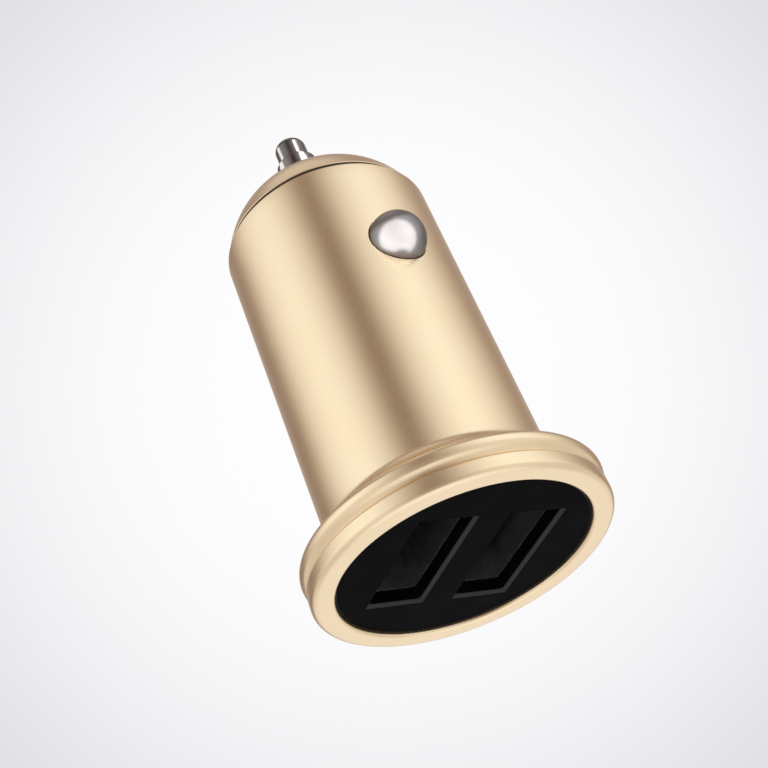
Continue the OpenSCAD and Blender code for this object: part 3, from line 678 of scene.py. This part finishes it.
def turnPiece(name, body, corners, slotName, replaced=(), isLoop=True, **values):
    points = softened(corners, isLoop)
    count = len(points)
    edges = [(i, i + 1) for i in range(count - 1)] + ([(count - 1, 0)] if isLoop else [])
    piece = newPiece(name, [(p.x, p.y, 0.0) for p in points], edges)
    inputs = {"Segments": lathe["segments"], "Crease": math.radians(lathe["crease"]),
              "Hole Radius": 0.0, "Hole Height": 0.0,
              "Turn": (0.0, 0.0, 0.0), "Lift": (0.0, 0.0, 0.0), "Material": finishes[slotName]}
    inputs.update(values)
    useTree(piece, turned, inputs)
    return dress(settle(piece), body, slotName, *replaced)


barrel = {
    "segments": 288, "wallRings": 24,
    "capStep": 0.15, "wall": 0.8, "seamBevel": 0.15,
    "plateGap": 0.05, "plateThick": 1.5,
    "bezelHeight": 1.95, "bezelRound": 0.6, "lipRound": 0.35,
    "grooveDepth": 0.5, "beadStep": 0.15, "beadRound": 0.8, "beadGap": 0.3, "beadStart": -60,
    "backSlope": 33.0, "flareRadius": 1.4,
    "clipLength": 3.4, "clipGroove": 0.4, "clipBead": 1.0,
    "holeGap": 0.08, "edge": 0.06,
}


def barrelSkin():
    b = barrel
    low, high = nodeBox("barrel_housing")
    plateLow, plateHigh = nodeBox("front_plate")
    contactLow, contactHigh = nodeBox("side_contact_right")
    wallR = nodeBox("nose_cap")[1].x + b["capStep"]
    boreR = wallR - b["wall"]
    seatR, seatZ = plateHigh.x + b["plateGap"], plateLow.z + b["plateThick"]
    beadR, topZ = high.x, high.z
    bezelR = beadR - b["beadStep"]
    beadZ = b["bezelHeight"] - b["beadRound"] * math.sin(math.radians(b["beadStart"])) + b["beadGap"]
    slope = math.radians(b["backSlope"])
    centre = (beadR - b["beadRound"], beadZ)
    startR = centre[0] + b["beadRound"] * math.sin(slope)
    startZ = centre[1] + b["beadRound"] * math.cos(slope)
    touchR = wallR + b["flareRadius"] * (1 - math.sin(slope))
    flareZ = startZ + (startR - touchR) * math.tan(slope) + b["flareRadius"] * math.cos(slope)
    grooveTop, grooveR = seatZ + b["clipLength"], boreR + b["clipGroove"]
    grooveLow = grooveTop - b["clipBead"]
    wallTop, count = topZ - b["seamBevel"], b["wallRings"]
    corners = (
        [(seatR, seatZ, 0.0)]
        + arcPoints((seatR + b["lipRound"], b["lipRound"]), b["lipRound"], 180, 270, 8)
        + arcPoints((bezelR - b["bezelRound"], b["bezelRound"]), b["bezelRound"], 270, 360)
        + [(bezelR, b["bezelHeight"] - b["grooveDepth"], 2 * b["edge"])]
        + [(bezelR - b["grooveDepth"], b["bezelHeight"], b["edge"])]
        + arcPoints(centre, b["beadRound"], b["beadStart"], 90 - b["backSlope"], 12)
        + arcPoints((wallR + b["flareRadius"], flareZ), b["flareRadius"], 270 - b["backSlope"], 180)
        + [(wallR, flareZ + (wallTop - flareZ) * i / count, 0.0) for i in range(1, count)]
        + [(wallR, wallTop, b["edge"]), (wallR - b["seamBevel"], topZ, b["edge"]), (boreR, topZ, 0.0)]
        + [(boreR, grooveTop, 0.0), (grooveR, grooveTop, 0.0), (grooveR, grooveLow, 0.0)]
        + [(boreR, grooveLow, 0.0), (boreR, seatZ, 0.0)]
    )
    headR = (contactHigh.z - contactLow.z) / 2 - contact["lipWidth"] + b["holeGap"]
    middleZ = (contactHigh.z + contactLow.z) / 2
    turnPiece("barrel_skin", "housing", corners, "gold_aluminium", ["barrel_housing"],
              Segments=b["segments"], **{"Hole Radius": headR * mm, "Hole Height": middleZ * mm})


cap = {
    "segments": 256, "crownSteps": 36, "innerSteps": 16,
    "wall": 0.9, "spigotGap": 0.05, "spigotBevel": 0.15,
    "crownDepth": 2.6, "crownOffset": 0.9,
    "landWidth": 0.6, "landRound": 0.15, "bossGap": 0.1, "bossEdge": 0.5, "edge": 0.06,
    "seamHeight": 0.55, "seamDepth": 0.36, "shadeRingProud": 0.12,
}
bush = {
    "segments": 96, "neckRadius": 2.9, "boreRadius": 2.2, "skirtWall": 1.2, "shoulder": 1.2,
    "bevel": 0.15, "edge": 0.05,
}


def crownSizes():
    # Radius of the cap's crown, its middle, and the boss inside it that holds the bush
    c = cap
    capR = nodeBox("nose_cap")[1].x
    crownR = math.hypot(capR - c["crownOffset"], c["crownDepth"])
    middle = (c["crownOffset"], nodeBox("barrel_housing")[1].z - c["crownDepth"])
    bossR = nodeBox("tip_bush")[1].x + c["bossGap"]
    inner = crownR - c["wall"]
    bossZ = middle[1] + math.sqrt(inner ** 2 - (bossR - c["crownOffset"]) ** 2) - c["bossEdge"]
    return crownR, middle, bossR, bossZ


def noseCapSkin():
    c = cap
    low, high = nodeBox("nose_cap")
    seamZ = nodeBox("barrel_housing")[1].z
    crownR, middle, bossR, bossZ = crownSizes()
    capR = high.x
    spigotR = capR + barrel["capStep"] - barrel["wall"] - c["spigotGap"]
    boreR = spigotR - c["wall"]
    neckR = bush["neckRadius"] + c["spigotGap"]
    landR = bush["neckRadius"] + c["landWidth"]
    inner = crownR - c["wall"]
    bevel, edge = c["spigotBevel"], c["edge"]
    start = math.degrees(math.asin((c["crownDepth"] + c["seamHeight"] + edge) / crownR))
    end = math.degrees(math.acos((landR - c["crownOffset"]) / crownR))
    innerStart = math.degrees(math.acos((boreR - c["crownOffset"]) / inner))
    innerEnd = math.degrees(math.acos((bossR - c["crownOffset"]) / inner))
    crown = arcPoints(middle, crownR, start, end, c["crownSteps"])
    landZ = crown[-1][1]
    grooveR, grooveTop = capR - c["seamDepth"], seamZ + c["seamHeight"]
    corners = (
        [(boreR, low.z, 0.0), (spigotR - bevel, low.z, 0.0), (spigotR, low.z + bevel, 0.0)]
        + [(spigotR, seamZ, 0.0), (grooveR, seamZ, 0.0), (grooveR, grooveTop, edge)]
        + [(crown[0][0] - edge, grooveTop, 0.0)]
        + crown[:-1]
        + [(landR, landZ, c["landRound"]), (neckR, landZ, edge), (neckR, bossZ, 0.0), (bossR, bossZ, 0.0)]
        + arcPoints(middle, inner, innerEnd, innerStart, c["innerSteps"])
    )
    turnPiece("nose_cap_skin", "housing", corners, "gold_aluminium", ["nose_cap"], Segments=c["segments"])
    # A dark brown ring in the seam groove: painted shade where the cap meets the barrel
    ringR = grooveR + c["shadeRingProud"]
    corners = [(spigotR, seamZ, 0.0), (spigotR, grooveTop, 0.0)]
    corners += [(ringR, grooveTop, edge), (ringR, seamZ, edge)]
    turnPiece("seam_shade_ring", "housing", corners, "black_plastic", Segments=c["segments"], Material=seamShadeBrown)


def bushSkin():
    b = bush
    low, high = nodeBox("tip_bush")
    top = crownSizes()[3]
    under = top - b["shoulder"]
    neckR, skirtR, edge = b["neckRadius"], high.x, b["edge"]
    skirtBore = skirtR - b["skirtWall"]
    corners = [
        (b["boreRadius"], under, 0.0), (b["boreRadius"], high.z - b["bevel"], edge),
        (b["boreRadius"] + b["bevel"], high.z, edge), (neckR - b["bevel"], high.z, edge),
        (neckR, high.z - b["bevel"], edge), (neckR, top, edge), (skirtR, top, b["bevel"]),
        (skirtR, low.z, edge), (skirtBore, low.z, edge), (skirtBore, under, 0.0),
    ]
    turnPiece("tip_bush_skin", "housing", corners, "black_plastic", ["tip_bush"], Segments=b["segments"])


tip = {
    "segments": 96,
    "tipRadius": 1.65, "tipRound": 0.9, "collarStep": 0.5, "neckDepth": 0.35, "collarHeight": 1.35,
    "travel": 2.5, "rest": 0.4, "neckLift": 1.0,
    "flangeThick": 1.0, "guide": 0.8, "guideRadius": 1.95, "guideBevel": 0.2, "edge": 0.08,
}


def tipSkin():
    t = tip
    low, high = nodeBox("tip_pin")
    bushTop = nodeBox("tip_bush")[1].z
    shankR = t["tipRadius"] + t["collarStep"]
    neckR, guideR = shankR - t["neckDepth"], t["guideRadius"]
    neckZ = bushTop + t["neckLift"]
    collarZ = bushTop + t["travel"] + t["rest"]
    collarTop = collarZ + t["collarHeight"]
    flangeZ = low.z + t["guide"]
    flangeTop = flangeZ + t["flangeThick"]
    edge = t["edge"]
    corners = [
        (0.0, low.z, 0.0), (guideR - t["guideBevel"], low.z, 0.0), (guideR, low.z + t["guideBevel"], 0.0),
        (guideR, flangeZ, 0.0), (high.x, flangeZ, edge), (high.x, flangeTop, edge),
        (shankR, flangeTop, 0.0), (shankR, neckZ - t["neckDepth"], edge), (neckR, neckZ, edge),
        (neckR, collarZ - t["neckDepth"], edge), (shankR, collarZ, edge),
        (shankR, collarTop, edge), (t["tipRadius"], collarTop + t["collarStep"], edge),
    ]
    corners += arcPoints((t["tipRadius"] - t["tipRound"], high.z - t["tipRound"]), t["tipRound"], 0, 90)
    corners += [(0.0, high.z, 0.0)]
    piece = turnPiece("tip_pin_skin", "tip", corners, "nickel_plate", ["tip_pin"], False,
                      Segments=t["segments"], Material=darkNickel)
    polished["tip"].objects.link(piece)


contact = {
    "segments": 128, "domeSteps": 32,
    "lipWidth": 0.75, "lipThick": 0.7, "wall": 0.55, "hollowBack": 0.4, "edge": 0.06,
}


def contactSkins():
    c = contact
    low, high = nodeBox("side_contact_right")
    lipR = (high.z - low.z) / 2
    headR = lipR - c["lipWidth"]
    centreX = high.x - headR
    lipTop = low.x + c["lipThick"]
    hollowR, hollowX = headR - c["wall"], centreX + c["hollowBack"]
    corners = [
        (0.0, hollowX, 0.0), (hollowR, hollowX, 0.0), (hollowR, low.x, c["edge"]),
        (lipR, low.x, c["edge"]), (lipR, lipTop, c["edge"]), (headR, lipTop, 0.0),
    ]
    corners += arcPoints((0.0, centreX), headR, 0, 90, c["domeSteps"])
    lift = (0.0, 0.0, (high.z + low.z) / 2 * mm)
    for side, turn in (("right", math.pi / 2), ("left", -math.pi / 2)):
        node = "side_contact_" + side
        piece = turnPiece(node + "_skin", "contact_" + side, corners, "nickel_plate", [node], False,
                          Segments=c["segments"], Turn=(0.0, turn, 0.0), Lift=lift)
        polished["contact" + side.capitalize()].objects.link(piece)


barrelSkin()
noseCapSkin()
bushSkin()
tipSkin()
contactSkins()
print("turned pieces done")

# The end turns rise by "closePitch" wire radii each. "lineStep" spaces the points before they are bent
springs = {
    "tip": {"meanRadius": 2.3, "wire": 0.5, "turns": 4.5},
    "side": {"meanRadius": 1.775, "wire": 0.35, "turns": 8.0},
    "closePitch": 2.3, "lineStep": 0.1, "stepsPerTurn": 36, "sides": 12, "crease": 50.0,
}


def helixTree():
    tree, given = newTree("helix", {"Mean Radius": "Float", "Wire Radius": "Float", "Length": "Float",
                                    "Turns": "Float", "Steps": "Int", "Sides": "Int", **placing})
    wire, turns = given["Wire Radius"], given["Turns"]
    line = grow(tree, "MeshLine", {"Count": given["Steps"], "Offset": (0.0, 0.0, springs["lineStep"] * mm)})
    curve = grow(tree, "MeshToCurve", {"Mesh": line})
    along = grow(tree, "SplineParameter")
    angle = times(tree, times(tree, along, turns), 2 * math.pi)
    # The first and last turn are wound close, the rest share what is left of the length
    start = over(tree, 1.0, turns)
    end = minus(tree, 1.0, start)
    close = times(tree, wire, springs["closePitch"])
    rest = minus(tree, minus(tree, given["Length"], times(tree, wire, 2.0)), times(tree, close, 2.0))
    first = times(tree, over(tree, along, start, True), close)
    middle = times(tree, spread(tree, along, start, end, kind="SMOOTHSTEP"), rest)
    last = times(tree, over(tree, minus(tree, along, end), start, True), close)
    height = plus(tree, plus(tree, first, middle), plus(tree, last, wire))
    x, y = [times(tree, calc(tree, kind, angle), given["Mean Radius"]) for kind in ("COSINE", "SINE")]
    bent = grow(tree, "SetPosition", {"Geometry": curve, "Position": combine(tree, X=x, Y=y, Z=height)})
    coil = wireOf(tree, given, bent, **{"Fill Caps": True})
    return endPlaced(tree, given, coil, math.radians(springs["crease"]))


helix = helixTree()


def windSpring(name, size, length, turn, lift):
    piece = newPiece(name)
    useTree(piece, helix, {
        "Mean Radius": size["meanRadius"] * mm, "Wire Radius": size["wire"] / 2 * mm, "Length": length * mm,
        "Turns": size["turns"], "Steps": int(size["turns"] * springs["stepsPerTurn"]) + 1,
        "Sides": springs["sides"], "Turn": turn, "Lift": [v * mm for v in lift],
        "Material": finishes["spring_steel"],
    })
    return settle(piece)


def makeSprings():
    low, high = nodeBox("tip_spring")
    length = high.z - low.z
    piece = windSpring("tip_spring_wire", springs["tip"], length, (0.0, 0.0, 0.0), (0.0, 0.0, low.z))
    dress(piece, "housing", "spring_steel", "tip_spring")
    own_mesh(piece)
    for side, sign in (("right", 1), ("left", -1)):
        low, high = nodeBox("side_spring_" + side)
        length = high.x - low.x
        seatX = low.x if sign > 0 else high.x
        middleZ = (low.z + high.z) / 2
        piece = windSpring("side_spring_" + side + "_wire", springs["side"], length,
                           (0.0, sign * math.pi / 2, 0.0), (seatX, 0.0, middleZ))
        dress(piece, "housing", "spring_steel", "side_spring_" + side)
        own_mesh(piece)


makeSprings()
print("springs done")

winding = {
    "drumRadius": 1.008, "slack": 0.005, "rings": 4, "layers": 4, "steps": 64, "sides": 10, "crease": 60.0,
}


# Wire wound in layers round a drum: each layer lies in the grooves of the one below
def woundTree():
    tree, given = newTree("wound", {"Drum Radius": "Float", "Wire Radius": "Float", "Length": "Float",
                                    "Rings": "Int", "Layers": "Int", "Steps": "Int", "Sides": "Int",
                                    **placing})
    wire, rings = given["Wire Radius"], given["Rings"]
    points = grow(tree, "Points", {"Count": times(tree, rings, given["Layers"])})
    index = grow(tree, "InputIndex")
    layer = calc(tree, "FLOOR", over(tree, plus(tree, index, 0.5), rings))
    place = minus(tree, index, times(tree, layer, rings))
    shift = times(tree, calc(tree, "MODULO", layer, 2.0), 0.5)
    pitch = over(tree, minus(tree, given["Length"], times(tree, wire, 2.0)), minus(tree, rings, 0.5))
    height = plus(tree, wire, times(tree, pitch, plus(tree, place, shift)))
    rise = plus(tree, 1.0, times(tree, layer, math.sqrt(3)))
    radius = plus(tree, given["Drum Radius"], times(tree, wire, rise))
    seated = grow(tree, "SetPosition", {"Geometry": points, "Position": combine(tree, Z=height)})
    circle = circleOf(tree, given["Steps"], 1.0)
    scale = combine(tree, X=radius, Y=radius, Z=1.0)
    loops = grow(tree, "InstanceOnPoints", {"Points": seated, "Instance": circle, "Scale": scale})
    whole = grow(tree, "RealizeInstances", {"Geometry": loops})
    even = grow(tree, "SetCurveRadius", {"Curve": whole, "Radius": 1.0})
    return endPlaced(tree, given, wireOf(tree, given, even), math.radians(winding["crease"]))


wound = woundTree()


def windInductor():
    w = winding
    low, high = nodeBox("inductor_winding")
    outer = (high.x - low.x) / 2 - w["slack"]
    wire = (outer - w["drumRadius"]) / (2 + (w["layers"] - 1) * math.sqrt(3))
    piece = newPiece("winding_wire")
    useTree(piece, wound, {
        "Drum Radius": w["drumRadius"] * mm, "Wire Radius": wire * mm, "Length": (high.y - low.y) * mm,
        "Rings": w["rings"], "Layers": w["layers"], "Steps": w["steps"], "Sides": w["sides"],
        "Turn": (-math.pi / 2, 0.0, 0.0), "Material": finishes["copper_wire"],
        "Lift": [(low.x + high.x) / 2 * mm, low.y * mm, (low.z + high.z) / 2 * mm],
    })
    dress(settle(piece), "housing", "copper_wire", "inductor_winding")


spot = {"segments": 16, "rings": 8, "crease": 50.0, "seed": 7}


# One block or drop on every point of the piece, at most as large as the size stored with the point
def spotsTree():
    tree, given = newTree("spots", {"Round": "Bool", "Uneven": "Float", "Seed": "Int"})
    size = put(tree, "GeometryNodeInputNamedAttribute", {"Name": "spotSize"}, data_type="FLOAT_VECTOR")
    least = minus(tree, 1.0, given["Uneven"])
    chance = put(tree, "FunctionNodeRandomValue", {2: least, 3: 1.0, "Seed": given["Seed"]}).outputs[1]
    inputs = {0: size.outputs["Attribute"], "Scale": chance}
    scale = put(tree, "ShaderNodeVectorMath", inputs, operation="SCALE").outputs[0]
    block = grow(tree, "MeshCube", {"Size": (1.0, 1.0, 1.0)})
    drop = grow(tree, "MeshUVSphere", {"Segments": spot["segments"], "Rings": spot["rings"], "Radius": 0.5})
    shape = grow(tree, "Switch", {"Switch": given["Round"], "False": block, "True": drop})
    smooth = creased(tree, shape, math.radians(spot["crease"]))
    placed = {"Points": given["Geometry"], "Instance": smooth, "Scale": scale}
    return endTree(tree, given, grow(tree, "InstanceOnPoints", placed))


spots = spotsTree()


def spotPiece(name, given, isRound, uneven):
    # Each entry of the list gives the middle of a spot and its size
    piece = newPiece(name, [place for place, size in given])
    stored = piece.data.attributes.new("spotSize", "FLOAT_VECTOR", "POINT")
    stored.data.foreach_set("vector", [v * mm for place, size in given for v in size])
    useTree(piece, spots, {"Round": isRound, "Uneven": uneven, "Seed": spot["seed"],
                           "Material": finishes["tin_lead"]})
    dress(settle(piece), "housing", "tin_lead")


solder = {
    "uneven": 0.16,
    "bladeX": (-3.5, -1.0, 1.0, 3.5), "bladeBack": 0.5, "blade": (1.15, 0.9, 1.5),
    "leads": 4, "leadWidth": 0.424, "footIn": 0.3, "foot": (0.8, 0.5, 0.5),
    "prongUp": 0.6, "prong": (2.0, 0.8, 1.3),
    "strapDown": 1.2, "strap": (1.1, 0.5, 1.6),
    "legX": 6.35, "legZ": (8.95, 11.95), "leg": (0.9, 0.9, 2.5),
    "fillet": (1.0, 0.42, 0.5),
}


def solderJoints():
    s = solder
    low, high = nodeBox("main_board")
    front, back = low.y, high.y
    bladeZ = nodeBox("port_blades_1")[1].z - s["bladeBack"]
    drops = [((x, y, bladeZ), s["blade"]) for x in s["bladeX"] for y in (front, back)]
    leadLow, leadHigh = nodeBox("regulator_leads")
    pitch = (leadHigh.z - leadLow.z - s["leadWidth"]) / (s["leads"] - 1)
    rows = [leadLow.z + s["leadWidth"] / 2 + i * pitch for i in range(s["leads"])]
    feet = (leadLow.x + s["footIn"], leadHigh.x - s["footIn"])
    drops += [((x, front, z), s["foot"]) for x in feet for z in rows]
    prongZ = nodeBox("positive_terminal")[0].z + s["prongUp"]
    drops += [((0.0, y, prongZ), s["prong"]) for y in (front, back)]
    for side in ("right", "left"):
        strapLow, strapHigh = nodeBox("ground_strap_" + side)
        x = (strapLow.x + strapHigh.x) / 2
        drops += [((x, y, strapLow.z + s["strapDown"]), s["strap"]) for y in (front, back)]
    for y, sides in ((front, (1, -1)), (back, (-1, 1))):
        drops += [((side * s["legX"], y, z), s["leg"]) for side, z in zip(sides, s["legZ"])]
    for node in ("rectifier_diode", "input_fuse"):
        partLow, partHigh = nodeBox(node)
        x = (partLow.x + partHigh.x) / 2
        drops += [((x, back, z), s["fillet"]) for z in (partLow.z, partHigh.z)]
    spotPiece("solder_joints", drops, True, s["uneven"])


tinEnd = {"length": 0.42, "proud": 0.03}


def endCaps():
    # Tin ends of the small chips: two for each loose block of the resistors, the diode and the fuse
    built = bmesh.new()
    built.from_mesh(cadNodes["chip_resistors"].data)
    bmesh.ops.remove_doubles(built, verts=built.verts, dist=weldGap)
    blocks = []
    left = set(built.verts)
    while left:
        group = [left.pop()]
        for vert in group:
            near = {edge.other_vert(vert) for edge in vert.link_edges} & left
            group += near
            left -= near
        low = [min(v.co[i] for v in group) / mm for i in range(3)]
        high = [max(v.co[i] for v in group) / mm for i in range(3)]
        blocks.append((low, high))
    built.free()
    blocks += [nodeBox(node) for node in ("rectifier_diode", "input_fuse")]
    caps = []
    length, proud = tinEnd["length"], tinEnd["proud"]
    for low, high in sorted([tuple(low), tuple(high)] for low, high in blocks):
        middle = [(a + b) / 2 for a, b in zip(low, high)]
        size = [b - a + proud for a, b in zip(low, high)]
        size[2] = length
        for z in (low[2] + (length - proud) / 2, high[2] - (length - proud) / 2):
            caps.append(((middle[0], middle[1], z), size))
    spotPiece("chip_end_caps", caps, False, 0.0)


canMark = {"thick": 0.02, "inset": 0.25, "share": 0.38, "steps": 24}


def canMarks():
    # The dark field at one side of each can's top, which shows its polarity
    c = canMark
    for node, sign in (("input_capacitor", 1), ("output_capacitor", -1)):
        low, high = nodeBox(node)
        centre = ((low.x + high.x) / 2, (low.z + high.z) / 2)
        radius = (high.x - low.x) / 2 - c["inset"]
        top = high.y if sign > 0 else low.y
        half = math.acos(c["share"])
        angles = [half * (2 * i / c["steps"] - 1) for i in range(c["steps"] + 1)]
        ring = [(centre[0] + radius * math.cos(a), centre[1] + radius * math.sin(a)) for a in angles]
        points = [(x, top + sign * depth, z) for depth in (-c["thick"], c["thick"]) for x, z in ring]
        count = len(ring)
        faces = [tuple(range(count)), tuple(range(2 * count - 1, count - 1, -1))]
        faces += [(i, count + i, count + (i + 1) % count, (i + 1) % count) for i in range(count)]
        piece = newPiece(node + "_mark", points, (), faces)
        piece.data.materials.append(finishes["black_plastic"])
        built = bmesh.new()
        built.from_mesh(piece.data)
        bmesh.ops.recalc_face_normals(built, faces=built.faces)
        built.to_mesh(piece.data)
        built.free()
        dress(piece, "housing", "black_plastic")


windInductor()
solderJoints()
endCaps()
canMarks()
print("board details done")

# Moulded and folded pieces: a merged copy of the CAD mesh with fine rounded edges
softEdges = {
    "width": {"front_plate": 0.06, "port_shell_1": 0.05, "port_shell_2": 0.05,
              "port_tongue_1": 0.06, "port_tongue_2": 0.06},
    "segments": 2, "crease": 28.0, "weld": 1e-6, "flat": 0.5,
}


def roundedCopy(node, width):
    s = softEdges
    mesh = cadNodes[node].data.copy()
    piece = bpy.data.objects.new(node + "_skin", mesh)
    scene.collection.objects.link(piece)
    built = bmesh.new()
    built.from_mesh(mesh)
    bmesh.ops.remove_doubles(built, verts=built.verts, dist=s["weld"])
    bmesh.ops.dissolve_limit(built, angle_limit=math.radians(s["flat"]), verts=built.verts, edges=built.edges)
    built.to_mesh(mesh)
    built.free()
    for attribute in ("custom_normal", "sharp_edge"):
        if attribute in mesh.attributes:
            mesh.attributes.remove(mesh.attributes[attribute])
    mesh.shade_smooth()
    bevel = piece.modifiers.new("edges", "BEVEL")
    bevel.width = width * mm
    bevel.segments = s["segments"]
    bevel.limit_method = "ANGLE"
    bevel.angle_limit = math.radians(s["crease"])
    bevel.harden_normals = True
    bevel.use_clamp_overlap = True
    dress(settle(piece), "housing", slotOfNode[node], node)


for node, width in softEdges["width"].items():
    roundedCopy(node, width)
print("moulded and folded pieces done")
